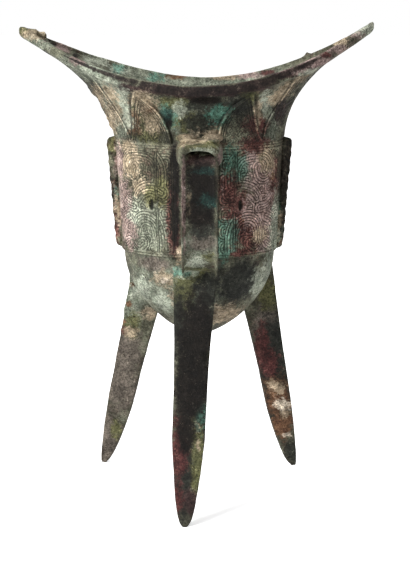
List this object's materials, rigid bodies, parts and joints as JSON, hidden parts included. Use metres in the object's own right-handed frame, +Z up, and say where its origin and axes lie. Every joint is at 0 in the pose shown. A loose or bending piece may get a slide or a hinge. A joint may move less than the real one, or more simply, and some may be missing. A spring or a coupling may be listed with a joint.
{
  "type": "bronze jiao wine vessel",
  "caption": "Oval bronze wine cup on blade-shaped legs, with two raised pointed wings, a strap handle, flanges and low-relief masks.",
  "frame": {"origin": "on the ground, under the middle of the vessel's box", "axes": "+Z up, the wings along X, the handle and the front leg towards -Y"},
  "size_m": [0.153, 0.089, 0.21],
  "materials": {
    "bronze": "matt green, brown and purple patina on cast bronze"
  },
  "bodies": {
    "root": {"jiao_vessel": "bronze"}
  },
  "joints": []
}
